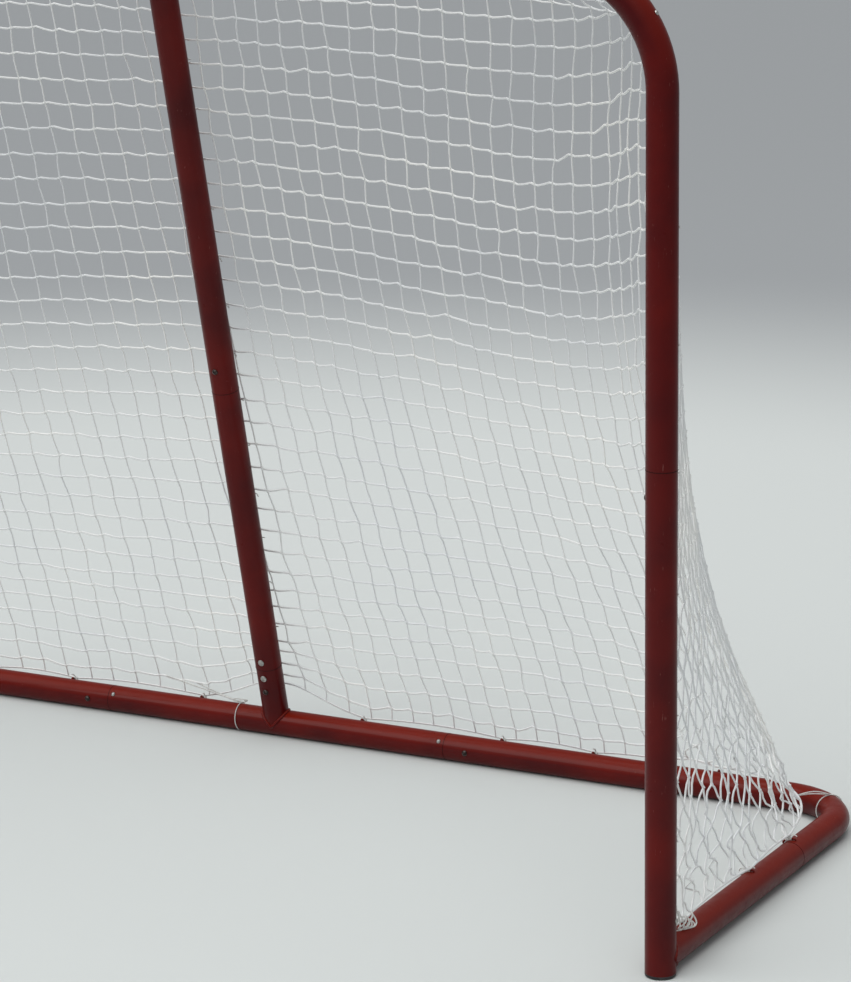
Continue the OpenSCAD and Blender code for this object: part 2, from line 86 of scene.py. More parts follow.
def add(tree, kind, inputs=None, **settings):
    """Adds a node with its settings. An input is a value, or another node's output to link."""
    made = tree.nodes.new(kind)
    for name, value in settings.items():
        setattr(made, name, value)
    for name, value in (inputs or {}).items():
        if isinstance(value, bpy.types.NodeSocket):
            tree.links.new(value, made.inputs[name])
        else:
            made.inputs[name].default_value = value
    return made


def new_material(name):
    """An empty node material with its output node."""
    made = bpy.data.materials.new(name)
    made.use_nodes = True
    made.node_tree.nodes.clear()
    return made, made.node_tree, add(made.node_tree, "ShaderNodeOutputMaterial")


floor_paint, tree, out = new_material("matt_floor_paint")
place = add(tree, "ShaderNodeTexCoord").outputs["Object"]
far = add(tree, "ShaderNodeVectorMath", {0: place}, operation="LENGTH").outputs["Value"]
greyer = add(tree, "ShaderNodeMapRange", {"Value": far, "From Min": 2.2, "From Max": 4.2},
             interpolation_type="SMOOTHSTEP").outputs["Result"]
shade = add(tree, "ShaderNodeMix", {0: greyer, 6: linear("#D4D8D6"), 7: linear("#A3A6A8")}, data_type="RGBA")
matt = add(tree, "ShaderNodeBsdfPrincipled", {"Base Color": shade.outputs[2], "Roughness": 0.8,
                                              "Specular IOR Level": 0.2})
tree.links.new(matt.outputs["BSDF"], out.inputs["Surface"])

FLOOR_R, FLOOR_SIDES = 60, 96
floor_mesh = bpy.data.meshes.new("studio_floor")
spokes = [math.tau * i / FLOOR_SIDES for i in range(FLOOR_SIDES)]
rim = [(FLOOR_R * math.cos(a), FLOOR_R * math.sin(a), -0.0005) for a in spokes]
floor_mesh.from_pydata(rim, [], [list(range(FLOOR_SIDES))])
floor_mesh.materials.append(floor_paint)
floor = bpy.data.objects.new("studio_floor", floor_mesh)
bpy.context.scene.collection.objects.link(floor)

world = bpy.data.worlds.new("soft_sky")
bpy.context.scene.world = world
world.use_nodes = True
world.node_tree.nodes.clear()
sky = add(world.node_tree, "ShaderNodeBackground", {"Color": linear("#EEF1F4"), "Strength": 0.38})
sky_out = add(world.node_tree, "ShaderNodeOutputWorld")
world.node_tree.links.new(sky.outputs["Background"], sky_out.inputs["Surface"])

for name, spot, aim, size, power in (
        ("lamp_left", (-2.6, -3.4, 4.2), (0.2, 0.0, 0.4), 3.6, 36),
        ("lamp_overhead", (0.8, 0.6, 4.6), (0.3, 0.0, 0.3), 3.0, 28)):
    lamp_data = bpy.data.lights.new(name, "AREA")
    lamp_data.size = size
    lamp_data.energy = power
    lamp = bpy.data.objects.new(name, lamp_data)
    lamp.location = spot
    lamp.rotation_euler = (Vector(aim) - Vector(spot)).to_track_quat("-Z", "Y").to_euler()
    bpy.context.scene.collection.objects.link(lamp)
sun_data = bpy.data.lights.new("lamp_even", "SUN")
sun_data.energy = 1.9
sun_data.angle = math.radians(75)
sun = bpy.data.objects.new("lamp_even", sun_data)
sun.rotation_euler = (math.radians(27), math.radians(-12), 0)
bpy.context.scene.collection.objects.link(sun)


# ---- Red tube frame
# Round steel tube, 38 mm across, bent, swaged at its plug ends and sprayed with red enamel.
# The enamel is glossy with a faint orange peel, rubbed dull and scuffed pale in places.

TUBE_R = 19.05


def coat(part, material):
    """Gives a part of the frame one material all over."""
    part.data.materials.clear()
    part.data.materials.append(material)


# clouds of tone 110 mm across, rubbed patches 14 mm, scratches 1 mm by 17 mm, orange peel 2.4 mm
red_enamel, tree, out = new_material("red_gloss_enamel_on_steel")
place = add(tree, "ShaderNodeTexCoord").outputs["Object"]
cloud = add(tree, "ShaderNodeTexNoise", {"Vector": place, "Scale": 9, "Detail": 5}).outputs["Fac"]
tone = add(tree, "ShaderNodeValToRGB", {"Fac": cloud})
tone.color_ramp.elements[0].position, tone.color_ramp.elements[0].color = 0.35, linear("#480A0C")
tone.color_ramp.elements[1].position, tone.color_ramp.elements[1].color = 0.68, linear("#600F0B")
rub = add(tree, "ShaderNodeTexNoise", {"Vector": place, "Scale": 70, "Detail": 8, "Roughness": 0.7})
scratch_map = add(tree, "ShaderNodeMapping", {"Vector": place, "Scale": (900, 900, 60)})
scratch = add(tree, "ShaderNodeTexNoise", {"Vector": scratch_map.outputs["Vector"], "Scale": 1, "Detail": 2})
worn = add(tree, "ShaderNodeMath", {0: rub.outputs["Fac"], 1: scratch.outputs["Fac"]}, operation="MULTIPLY")
scuff = add(tree, "ShaderNodeMapRange", {"Value": worn.outputs["Value"], "From Min": 0.40, "From Max": 0.47,
                                         "To Max": 0.4})
# painted light: faces that look up are painted a warmer, lighter red, standing in for the light that falls
# on them from above
facing = add(tree, "ShaderNodeSeparateXYZ", {"Vector": add(tree, "ShaderNodeNewGeometry").outputs["Normal"]})
painted_top_light = add(tree, "ShaderNodeMapRange", {"Value": facing.outputs["Z"], "From Min": 0.1, "From Max": 0.8,
                                         "To Max": 0.75})
top_lit_red = add(tree, "ShaderNodeMix", {0: painted_top_light.outputs["Result"], 6: tone.outputs["Color"],
                                        7: linear("#7C1D0C")}, data_type="RGBA")
painted = add(tree, "ShaderNodeMix", {0: scuff.outputs["Result"], 6: top_lit_red.outputs[2],
                                      7: linear("#9C6A62")}, data_type="RGBA")
dull = add(tree, "ShaderNodeMapRange", {"Value": rub.outputs["Fac"], "From Min": 0.3, "From Max": 0.75,
                                        "To Min": 0.26, "To Max": 0.5})
peel = add(tree, "ShaderNodeTexNoise", {"Vector": place, "Scale": 420, "Detail": 3})
skin = add(tree, "ShaderNodeBump", {"Height": peel.outputs["Fac"], "Strength": 0.12, "Distance": 0.0004})
enamel = add(tree, "ShaderNodeBsdfPrincipled", {
    "Base Color": painted.outputs[2], "Roughness": dull.outputs["Result"], "Normal": skin.outputs["Normal"],
    "IOR": 1.5, "Specular IOR Level": 0.08, "Coat Weight": 0.16, "Coat Roughness": 0.07})
tree.links.new(enamel.outputs["BSDF"], out.inputs["Surface"])
tubes = ["crossbar_centre", "upper_post_right", "upper_post_left", "lower_post_right", "lower_post_left",
         "side_tube_right", "side_tube_left", "rear_corner_right", "rear_corner_left", "rear_rail_centre",
         "support_upper", "support_lower"]
for name in tubes:
    coat(parts[name], red_enamel)


# ---- Foot caps
# Black moulded polyethylene caps pushed into the posts. Moulding leaves a fine matt grain,
# and dust and rubbing leave greyer patches.

# grain 1 mm across, greyer patches 8 mm
cap_plastic, tree, out = new_material("black_moulded_polyethylene")
place = add(tree, "ShaderNodeTexCoord").outputs["Object"]
grain = add(tree, "ShaderNodeTexNoise", {"Vector": place, "Scale": 900, "Detail": 4})
dust = add(tree, "ShaderNodeTexNoise", {"Vector": place, "Scale": 130, "Detail": 6})
tone = add(tree, "ShaderNodeValToRGB", {"Fac": dust.outputs["Fac"]})
tone.color_ramp.elements[0].position, tone.color_ramp.elements[0].color = 0.45, linear("#131314")
tone.color_ramp.elements[1].position, tone.color_ramp.elements[1].color = 0.8, linear("#3A3938")
fine = add(tree, "ShaderNodeBump", {"Height": grain.outputs["Fac"], "Strength": 0.3, "Distance": 0.0003})
plastic = add(tree, "ShaderNodeBsdfPrincipled", {"Base Color": tone.outputs["Color"], "Roughness": 0.55,
                                                 "Normal": fine.outputs["Normal"], "IOR": 1.51})
tree.links.new(plastic.outputs["BSDF"], out.inputs["Surface"])
for name in ("foot_cap_right", "foot_cap_left"):
    coat(parts[name], cap_plastic)


# ---- Buttons, springs, bolts and studs
# Bolts, nuts and domed studs are zinc-plated steel, pale grey with fine brushing and a dull
# bloom. The buttons and leaf springs are blacked spring steel, rubbed paler in spots.

# bloom 4 mm across, brush lines 0.3 mm by 2 mm
zinc, tree, out = new_material("zinc_plated_steel")
place = add(tree, "ShaderNodeTexCoord").outputs["Object"]
bloom = add(tree, "ShaderNodeTexNoise", {"Vector": place, "Scale": 260, "Detail": 6})
tone = add(tree, "ShaderNodeValToRGB", {"Fac": bloom.outputs["Fac"]})
tone.color_ramp.elements[0].position, tone.color_ramp.elements[0].color = 0.3, linear("#8F8F8C")
tone.color_ramp.elements[1].position, tone.color_ramp.elements[1].color = 0.75, linear("#D2D1CC")
brushed_map = add(tree, "ShaderNodeMapping", {"Vector": place, "Scale": (3000, 3000, 500)})
brushed = add(tree, "ShaderNodeTexNoise", {"Vector": brushed_map.outputs["Vector"], "Scale": 1, "Detail": 2})
lines = add(tree, "ShaderNodeBump", {"Height": brushed.outputs["Fac"], "Strength": 0.15, "Distance": 0.0002})
dull = add(tree, "ShaderNodeMapRange", {"Value": bloom.outputs["Fac"], "To Min": 0.22, "To Max": 0.5})
plated = add(tree, "ShaderNodeBsdfPrincipled", {"Base Color": tone.outputs["Color"], "Metallic": 1.0,
                                                "Roughness": dull.outputs["Result"],
                                                "Normal": lines.outputs["Normal"]})
tree.links.new(plated.outputs["BSDF"], out.inputs["Surface"])

# rubbed spots 2.5 mm across
blacked, tree, out = new_material("blacked_spring_steel")
place = add(tree, "ShaderNodeTexCoord").outputs["Object"]
rub = add(tree, "ShaderNodeTexNoise", {"Vector": place, "Scale": 400, "Detail": 5})
tone = add(tree, "ShaderNodeValToRGB", {"Fac": rub.outputs["Fac"]})
tone.color_ramp.elements[0].position, tone.color_ramp.elements[0].color = 0.4, linear("#2A2422")
tone.color_ramp.elements[1].position, tone.color_ramp.elements[1].color = 0.8, linear("#6A625E")
oxide = add(tree, "ShaderNodeBsdfPrincipled", {"Base Color": tone.outputs["Color"], "Metallic": 0.9,
                                               "Roughness": 0.32})
tree.links.new(oxide.outputs["BSDF"], out.inputs["Surface"])

for name, part in parts.items():
    sprung = "_button" in name or "_spring" in name
    if sprung or "bolt" in name or "stud" in name:
        coat(part, blacked if sprung else zinc)

# each joint's leaf spring gets a mesh of its own
for joint in frame["record"]["behaviour"]["joints"]:
    spring = parts[joint["deforming_nodes"][0]["node"]]
    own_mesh(spring)


# ---- Net
# Knotted polyester twine, 2 to 3 mm thick, stretched down to the rear rail and the side tubes.
# The back's meshes are 25 to 42 mm wide, mostly about 36, and about 34 mm high, closing up to
# the floor. The sides hang in tall diamonds, 35 mm wide at the floor and 4 mm at the top.

# the axes, lean and bends of the frame, in mm and radians
BASE_DEPTH = 643.0
POST_X = 895.35
BAR_Z = 1204.45
RAIL_Z = 19.05
SIDE_Z = RAIL_Z + 4.4
LEAN = math.radians(13.43)
TOP_BEND_R = 147.5
LEG_BEND_R = 110.0
# wire staples stand just clear of the tubes, and the net just clear of the staples
STAPLE_WIRE = 3.0
TIE_R = TUBE_R + STAPLE_WIRE / 2 + 0.4
TIE_CLEAR = TIE_R + STAPLE_WIRE / 2 + 0.3
WALL_CLEAR = TIE_CLEAR + 1.5
NET_BOTTOM = SIDE_Z + TIE_CLEAR
LEG_LEN = (BAR_Z - RAIL_Z) / math.cos(LEAN) - LEG_BEND_R * math.tan((math.pi / 2 - LEAN) / 2)
WALL_TOP = RAIL_Z + LEG_LEN * math.cos(LEAN) + WALL_CLEAR * math.sin(LEAN)
# part of the plan curve's parameter that belongs to the side
SIDE_SHARE = BASE_DEPTH / (BASE_DEPTH + POST_X)
RIGHT_LEFT = ((1, "right"), (-1, "left"))
TWINE = 2.2
# how thick the knots, rows and columns are, as multiples of TWINE
KNOT_GIRTH, ROW_GIRTH, COLUMN_GIRTH = 0.95, 1.34, 1.02


def half_width(z):
    """Half the goal's width at height z: the axis of the post, then that of the top bend."""
    bend_z = BAR_Z - TOP_BEND_R
    if z <= bend_z:
        return POST_X
    return POST_X - TOP_BEND_R + math.sqrt(max(0.0, TOP_BEND_R ** 2 - (min(z, BAR_Z) - bend_z) ** 2))


def plan_curve(z):
    """The net's plan at height z, from the centre support round to the post, with its arc length."""
    t = np.linspace(1, 0, 161)
    depth = BASE_DEPTH - math.tan(LEAN) * (z - RAIL_Z) + WALL_CLEAR / math.cos(LEAN)
    # the net cuts off the rear corner at the top and nearly fills it at the floor
    squareness = 1.6 + 6.3 * math.exp(-z / 205)
    a = np.where(t < SIDE_SHARE, 1, (1 - t) / (1 - SIDE_SHARE))
    b = np.where(t < SIDE_SHARE, t / SIDE_SHARE, 1)
    k = (a ** squareness + b ** squareness) ** (-1 / squareness)
    x, y = half_width(z) * a * k, TIE_CLEAR + (depth - TIE_CLEAR) * b * k
    arc = np.concatenate([[0], np.cumsum(np.hypot(np.diff(x), np.diff(y)))])
    return x, y, arc


def wall_point(u, z):
    """Point of the right half's net at arc length u from the support, with its normal and tangent."""
    x, y, arc = plan_curve(z)
    u = min(max(u, 0.0), arc[-1])
    ahead, behind = min(u + 4, arc[-1]), max(u - 4, 0.0)
    along = np.array([np.interp(ahead, arc, x) - np.interp(behind, arc, x),
                      np.interp(ahead, arc, y) - np.interp(behind, arc, y)])
    along /= np.linalg.norm(along)
    return (np.array([np.interp(u, arc, x), np.interp(u, arc, y), z]),
            np.array([-along[1], along[0], 0.0]), np.array([along[0], along[1], 0.0]))


cord_tree = bpy.data.node_groups.new("twine_along_lines", "GeometryNodeTree")
cord_in = {}
for name, kind in (("Lines", "NodeSocketGeometry"), ("Twine radius", "NodeSocketFloat"),
                   ("Sides", "NodeSocketInt"), ("Twine", "NodeSocketMaterial")):
    cord_in[name] = cord_tree.interface.new_socket(name=name, in_out="INPUT", socket_type=kind).identifier
cord_tree.interface.new_socket(name="Cord", in_out="OUTPUT", socket_type="NodeSocketGeometry")
given = add(cord_tree, "NodeGroupInput").outputs
lines = add(cord_tree, "GeometryNodeMeshToCurve", {"Mesh": given["Lines"]})
girth = add(cord_tree, "GeometryNodeInputNamedAttribute", {"Name": "girth"}, data_type="FLOAT")
thick = add(cord_tree, "ShaderNodeMath", {0: girth.outputs["Attribute"], 1: given["Twine radius"]},
            operation="MULTIPLY")
ring = add(cord_tree, "GeometryNodeCurvePrimitiveCircle", {"Resolution": given["Sides"], "Radius": 1.0})
turn = add(cord_tree, "GeometryNodeSplineParameter")
marked = add(cord_tree, "GeometryNodeStoreNamedAttribute", {
    "Geometry": ring.outputs["Curve"], "Name": "round", "Value": turn.outputs["Factor"]},
    data_type="FLOAT", domain="POINT")
tube = add(cord_tree, "GeometryNodeCurveToMesh", {
    "Curve": lines.outputs["Curve"], "Profile Curve": marked.outputs["Geometry"],
    "Scale": thick.outputs["Value"], "Fill Caps": True})
soft = add(cord_tree, "GeometryNodeSetShadeSmooth", {"Geometry": tube.outputs["Mesh"]})
real = add(cord_tree, "GeometryNodeRealizeInstances", {"Geometry": soft.outputs["Geometry"]})
dressed = add(cord_tree, "GeometryNodeSetMaterial", {
    "Geometry": real.outputs["Geometry"], "Material": given["Twine"]})
add(cord_tree, "NodeGroupOutput", {"Cord": dressed.outputs["Geometry"]})


def lay_cord(name, strands, diameter, sides, material):
    """One mesh of cords. strands holds (points in mm from the posts' plane, girth, closed)."""
    points, edges, girths, lengths = [], [], [], []
    for path, girth_of, closed in strands:
        first = len(points)
        path = np.asarray(path, float)
        step = np.concatenate([[0], np.cumsum(np.linalg.norm(np.diff(path, axis=0), axis=1))])
        points += [(p[0] / 1000, (p[1] - BASE_DEPTH / 2) / 1000, p[2] / 1000) for p in path]
        girths += list(np.broadcast_to(girth_of, len(path)))
        lengths += list(step / 1000)
        edges += [(first + i, first + i + 1) for i in range(len(path) - 1)]
        if closed:
            edges.append((len(points) - 1, first))
    wires = bpy.data.meshes.new(name)
    wires.from_pydata(points, edges, [])
    wires.attributes.new("girth", "FLOAT", "POINT").data.foreach_set("value", np.array(girths, np.float32))
    wires.attributes.new("along", "FLOAT", "POINT").data.foreach_set("value", np.array(lengths, np.float32))
    piece = bpy.data.objects.new(name, wires)
    bpy.context.scene.collection.objects.link(piece)
    maker = piece.modifiers.new("twine", "NODES")
    maker.node_group = cord_tree
    maker[cord_in["Twine radius"]] = diameter / 2000
    maker[cord_in["Sides"]] = sides
    maker[cord_in["Twine"]] = material
    shown = piece.evaluated_get(bpy.context.evaluated_depsgraph_get())
    piece.data = bpy.data.meshes.new_from_object(shown)
    piece.modifiers.clear()
    piece.data.name = name
    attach(piece, "goal_frame")
    return piece


def wound(tree, strands, pitch):
    """Strands wound round a cord, as a sine. A ridge of one passes every pitch of the cord's length."""
    along = add(tree, "ShaderNodeAttribute", attribute_name="along").outputs["Fac"]
    turned = add(tree, "ShaderNodeAttribute", attribute_name="round").outputs["Fac"]
    run = add(tree, "ShaderNodeMath", {0: along, 1: math.tau / pitch}, operation="MULTIPLY")
    phase = add(tree, "ShaderNodeMath", {0: turned, 1: strands * math.tau, 2: run.outputs["Value"]},
                operation="MULTIPLY_ADD")
    return add(tree, "ShaderNodeMath", {0: phase.outputs["Value"]}, operation="SINE").outputs["Value"]


# fuzz 0.7 mm across and grime in clouds of 170 mm, with three plies. Their ridges pass every
# 9 mm, which is coarser than in real twine of this thickness
twine, tree, out = new_material("white_twisted_polyester_twine")
place = add(tree, "ShaderNodeTexCoord").outputs["Object"]
fuzz = add(tree, "ShaderNodeTexNoise", {"Vector": place, "Scale": 1400, "Detail": 4})
grime = add(tree, "ShaderNodeTexNoise", {"Vector": place, "Scale": 6, "Detail": 4})
tone = add(tree, "ShaderNodeValToRGB", {"Fac": grime.outputs["Fac"]})
tone.color_ramp.elements[0].position, tone.color_ramp.elements[0].color = 0.35, linear("#E9EBEC")
tone.color_ramp.elements[1].position, tone.color_ramp.elements[1].color = 0.65, linear("#F8F8F5")
lay = add(tree, "ShaderNodeMath", {0: wound(tree, 3, 0.009), 1: 0.4, 2: fuzz.outputs["Fac"]},
          operation="MULTIPLY_ADD")
twist = add(tree, "ShaderNodeBump", {"Height": lay.outputs["Value"], "Strength": 0.5, "Distance": 0.0003})
fibre = add(tree, "ShaderNodeBsdfPrincipled", {
    "Base Color": tone.outputs["Color"], "Roughness": 0.62, "Normal": twist.outputs["Normal"],
    "Sheen Weight": 0.15, "Specular IOR Level": 0.35})
tree.links.new(fibre.outputs["BSDF"], out.inputs["Surface"])

# where the net is tied: on each half of the rail, and along each side tube
RAIL_TIE_X = [134.0, 358.0, 500.0, 690.0]
SIDE_TIE_Y = [73.0, 281.0, 419.0]
TOP_ROW, BOTTOM_ROW = -1, 31


def join_at(z):
    """Arc length at which the back's meshes end and the side's diamonds begin."""
    return 602 + 308 / (1 + math.exp((455 - z) / 120))


def column_u(k, z, side):
    """Arc length of column k at height z. The columns aren't parallel, nor evenly spaced."""
    t = (z - 600) / 500
    if side < 0:
        k = (k - 7) / 10
        return 280.4 + 16.4 * t - 11.2 * t * t + k * (358.9 - 38.5 * t + 7 * t * t)
    if k > 21:
        return column_u(21, z, side) + (k - 21) * 25
    k = k / 10
    return (-23 - 31 * t + 24.6 * t * t + k * (309.3 - 47.2 * t + 8.5 * t * t)
            + k * k * (37.7 + 81.4 * t - 1.1 * t * t) + k ** 3 * (-5.7 - 24.2 * t))


def row_z(j, u, side):
    """Height of row j at arc length u. Away from the support, high rows rise and low rows dip."""
    low = min(j, 25.0)
    t = low / 15 - 1
    if side < 0:
        v = min(u, 450.0) / 500
        level = 554.2 - 521.6 * t + 30.9 * t * t + 36.5 * t ** 3
        z = level + v * (-25 + 4.6 * t + 24 * t * t - 16.2 * t ** 3)
    else:
        v = min(u, 830.0) / 500
        level = 553.9 - 522.2 * t + 22.1 * t * t + 33.7 * t ** 3
        slope = -21.2 + 0.5 * t + 29.3 * t * t + 14.8 * t ** 3
        bow = 5.8 + 8.6 * t + 29.5 * t * t - 30.7 * t ** 3
        z = (level + v * slope + v * v * bow + v ** 3 * (-14.1 + 33.4 * t - 46.6 * t * t)
             + v ** 4 * (14.8 - 27.5 * t))
    # the rows below the 25th close up on the net's bottom edge
    if j > 25:
        z = NET_BOTTOM + (z - NET_BOTTOM) * (31.7 - j) / 6.7
    return min(z, WALL_TOP - 1)


def held_at(places, x, arc):
    """Arc lengths of the rail ties on the back of the plan curve."""
    turn = int(np.argmax(x >= 0.985 * x.max()))
    return [float(np.interp(place, x[:turn], arc[:turn])) for place in places]


bottom_x, _, bottom_arc = plan_curve(NET_BOTTOM)
HELD = sorted([0.0, float(bottom_arc[-1])] + held_at(RAIL_TIE_X, bottom_x, bottom_arc)
              + [float(bottom_arc[-1] - y + TIE_CLEAR) for y in SIDE_TIE_Y])


def scallop(u):
    """How far the net's bottom edge rises between its ties, at arc length u."""
    k = min(max(int(np.searchsorted(HELD, u)), 1), len(HELD) - 1)
    span = HELD[k] - HELD[k - 1]
    share = min(max((u - HELD[k - 1]) / span, 0), 1)
    return 7.0 * math.sin(math.pi * share) ** 0.8 * min(1, span / 180)


HEM_DROP, HEM_LIFT = 12, 40


def hem_z(u):
    """Height of the net's bottom edge: low behind the rail, and drawn up at the centre support."""
    drop = HEM_DROP * min(max((float(bottom_arc[-1]) - 760 - u) / 60, 0), 1)
    return NET_BOTTOM + scallop(u) - drop + HEM_LIFT * math.exp(-(u / 75) ** 2)


def knot(centre, normal, along):
    """A sheet bend, drawn as one and a half tight turns of twine about the crossing's diagonal."""
    whole = 3 * math.pi
    axis = along * 0.8 + np.array([0, 0, 0.6])
    side = np.cross(axis, normal)
    return [centre + 1.3 * math.cos(a) * normal + 1.6 * math.sin(a) * side
            + (a / whole - 0.5) * 2.4 * axis for a in np.linspace(0, whole, 8)]


def mirrored(strands, side):
    """The strands of the right half, turned over to the left half when side is -1."""
    return [(np.asarray(path) * [side, 1, 1], girth, closed) for path, girth, closed in strands]


def back_strands(side, seed):
    """Rows, columns and knots of one half of the back, from the support to the side's join."""
    rng = np.random.default_rng(seed)
    strands, grid = [], {}
    for j in range(TOP_ROW, BOTTOM_ROW + 1):
        for k in range(-2, 37):
            z = row_z(j, 400, side)
            for _ in range(3):
                u = column_u(k, z, side)
                z = row_z(j, max(u, 0), side)
            # a slanting lacing joins two widths of net, and each row steps up where it crosses
            past = u - (427 + 1.17 * (z - 715))
            if side > 0 and 350 < z < 1060:
                z += math.copysign(4.5 * math.exp(-abs(past) / 45), past)
            z += rng.normal(0, 1.0)
            u += rng.normal(0, 1.1)
            if 5 < u < join_at(z):
                z += (hem_z(u) - NET_BOTTOM) * max(0.0, 1 - abs(j - BOTTOM_ROW) / 3)
                point, normal, along = wall_point(u, z)
                grid[j, k] = (point + normal * rng.normal(0, 1.5), normal, along, u)
    for (j, k), (point, normal, along, u) in grid.items():
        strands.append((knot(point, normal, along), KNOT_GIRTH, False))
        wave = 1.5 + rng.normal(0, 0.5)
        share = np.array([0, 0.16, 0.5, 0.84, 1])
        lift = np.array([0, -0.9, -0.3, 0.9, 0]) * wave
        if (j, k + 1) in grid:
            end = grid[j, k + 1][0]
        else:
            end = wall_point(join_at(point[2]), point[2] + 2)[0]
        path = point + np.outer(share, end - point)
        path[:, 2] += lift
        path += np.outer([0, 0.6, 0, -0.6, 0], normal)
        strands.append((path, ROW_GIRTH, False))
        if (j, k - 1) not in grid:
            centre = np.array([0, wall_point(0, point[2])[0][1] + 0.3, point[2] + 0.04 * u])
            strands.append(([point, (point + centre) / 2 - [0, 0, 0.8], centre], ROW_GIRTH, False))
        if (j + 1, k) in grid:
            end = grid[j + 1, k][0]
            sway = np.outer([0, 1, 0.6, 0], along * rng.normal(0, 0.8))
            path = point + np.outer([0, 0.33, 0.67, 1], end - point) + sway
            strands.append((path, COLUMN_GIRTH, False))
        elif j == BOTTOM_ROW:
            strands.append(([point, wall_point(u, hem_z(u))[0]], COLUMN_GIRTH, False))
        else:
            end = wall_point(0 if u < 200 else join_at(point[2] - 30), point[2] - 30)[0]
            strands.append(([point, (point + end) / 2 + [1.5, 0, 0], end], COLUMN_GIRTH, False))
        if j == TOP_ROW:
            strands.append(([point, wall_point(u, WALL_TOP)[0]], COLUMN_GIRTH, False))
    hem = [wall_point(u, hem_z(u))[0] for u in np.arange(0, join_at(NET_BOTTOM) + 6, 8.0)]
    strands.append((hem, 1.25, False))
    return mirrored(strands, side)


def side_strands(side, seed):
    """The side wall: the meshes hang as tall diamonds from the join round to the post."""
    rng = np.random.default_rng(seed)
    strands, grid = [], {}
    across, down = 23, 34
    for i in range(down + 1):
        share = i / down
        z = NET_BOTTOM + (WALL_TOP - NET_BOTTOM) * share ** 1.04
        total = plan_curve(z)[2][-1]
        slack = math.exp(-(z - NET_BOTTOM) / 70)
        for j in range(across + 1 - i % 2):
            part = (j + 0.5 * (i % 2)) / across
            u = join_at(z) + (total - join_at(z)) * part
            free = 1 if 0 < i < down and 0 < j < across else 0
            rise = scallop(u) if i == 0 else scallop(u) * 0.6 * slack
            height = z + rise + free * rng.normal(0, 2.0 + 6 * slack)
            u += free * rng.normal(0, 1.6 + 7 * slack)
            point, normal, along = wall_point(u, min(height, WALL_TOP))
            grid[i, j] = (point - normal * free * abs(rng.normal(0, 1.5 + 7 * slack)), normal, along, slack)
    for (i, j), (point, normal, along, slack) in grid.items():
        if 0 < i < down:
            strands.append((knot(point, normal, along), 1.0, False))
        for other in ((i + 1, j), (i + 1, j - 1 + 2 * (i % 2))):
            if other in grid:
                end = grid[other][0]
                curl = rng.normal(0, 0.8 + 8 * slack, 2)
                share = np.array([0, 0.25, 0.5, 0.75, 1])
                bend = np.sin(np.pi * share)
                swing = np.sin(2 * np.pi * share)
                sway = np.outer(bend * curl[0] + swing * curl[1] * 0.6, along)
                path = point + np.outer(share, end - point) + sway
                path -= np.outer(bend * abs(curl[1]) * 0.5, normal)
                strands.append((path, 1.15, False))
    # thicker cord runs along the bottom edge, up the post and up the join; an arc length far
    # past the end stands for the post
    heights = np.arange(NET_BOTTOM, WALL_TOP, 15)
    strands.append(([wall_point(u, hem_z(u))[0]
                     for u in np.arange(join_at(NET_BOTTOM), bottom_arc[-1] + 1, 8.0)], 1.45, False))
    strands.append(([wall_point(1e6, z)[0] for z in heights], 1.4, False))
    strands.append(([wall_point(join_at(z), z)[0] for z in heights], 1.2, False))
    return mirrored(strands, side)


for side, name in RIGHT_LEFT:
    piece = lay_cord("net_back_cords_" + name, back_strands(side, 11), TWINE, 6, twine)
    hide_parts("net_back_" + name)
    piece = lay_cord("net_side_cords_" + name, side_strands(side, 12), TWINE, 6, twine)
    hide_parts("net_side_" + name)


# ---- Roof of the net
# The same net runs on from the top of the wall to the crossbar. Its halves part towards the
# front and leave room for the support's arm.


def roof_point(u, v):
    """Right half: u along the wall's top edge, v from 0 at the wall to 1 at the crossbar."""
    x, y, arc = plan_curve(WALL_TOP)
    low_x, low_y = np.interp(u, arc, x), np.interp(u, arc, y)
    narrow = half_width(BAR_Z) / half_width(WALL_TOP)
    z = WALL_TOP + (BAR_Z + 0.5 - WALL_TOP) * (1 - (1 - v) ** 2)
    return np.array([max(low_x * (1 - (1 - narrow) * v), TIE_CLEAR * v), low_y + (TIE_CLEAR - low_y) * v, z])


ROOF_ROWS = 11
roof_arc = float(plan_curve(WALL_TOP)[2][-1])
for side, name in RIGHT_LEFT:
    rng = np.random.default_rng(21)
    columns = [u for u in (column_u(k, WALL_TOP, side) for k in range(-2, 40)) if 5 < u < roof_arc - 12]
    strands, grid = [], {}
    for k, u in enumerate(columns):
        for j in range(ROOF_ROWS + 1):
            stray = np.append(rng.normal(0, 1.2, 2), 0)
            grid[k, j] = roof_point(u, j / ROOF_ROWS) + stray * (1 if 0 < j < ROOF_ROWS else 0)
    for (k, j), point in grid.items():
        strands.append((knot(point, np.array([0, 0, 1.0]), np.array([1.0, 0, 0])), KNOT_GIRTH, False))
        for other in ((k + 1, j), (k, j + 1)):
            if other in grid:
                strands.append(([point, (point + grid[other]) / 2 - [0, 0, 1.2], grid[other]], 1.05, False))
        if k == 0:
            strands.append(([point, roof_point(0, j / ROOF_ROWS)], 1.05, False))
        if k == len(columns) - 1:
            strands.append(([point, roof_point(roof_arc, j / ROOF_ROWS)], 1.05, False))
    strands.append(([roof_point(u, 1) for u in np.linspace(0, roof_arc, 60)], 1.4, False))
    strands.append(([roof_point(roof_arc, v) for v in np.linspace(0, 1, 12)], 1.3, False))
    piece = lay_cord("net_roof_cords_" + name, mirrored(strands, side), TWINE, 6, twine)
    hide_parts("net_roof_" + name)


# ---- Ties
# Wire staples on the hidden sides of the tubes hold the net's edges. Braided cord, 1.8 mm
# thick, lashes the net to each staple, and its cut ends stand out. Enamel covers the staples.

TIE_CORD = 1.8
# degrees round its tube that a staple spans
STAPLE_SPAN = 56
